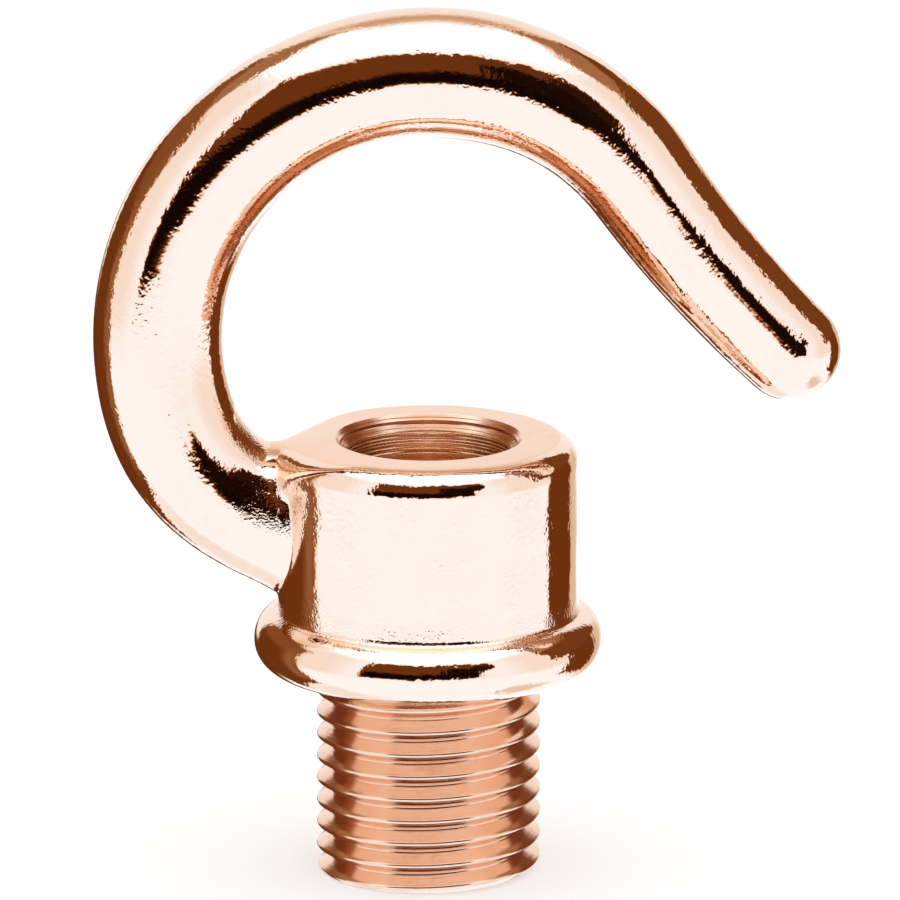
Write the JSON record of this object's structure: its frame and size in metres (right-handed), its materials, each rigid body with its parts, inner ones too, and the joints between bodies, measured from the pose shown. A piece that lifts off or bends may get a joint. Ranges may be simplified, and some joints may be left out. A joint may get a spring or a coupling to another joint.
{
  "type": "lamp ceiling hook",
  "caption": "Open cast hook rising from a bored hub with a round collar above a threaded stub, for hanging a lamp from a ceiling.",
  "frame": {"origin": "centre of the collar's flat seat, on the axis of the threaded stub", "axes": "+Z along the thread's axis up to the hook, +X towards the hook's tip, the hook lying in the XZ plane"},
  "size_m": [0.0455, 0.0214, 0.0539],
  "materials": {
    "copper_plate": "polished copper plating over cast brass"
  },
  "bodies": {
    "root": {"hook_body": "copper_plate"}
  },
  "joints": []
}
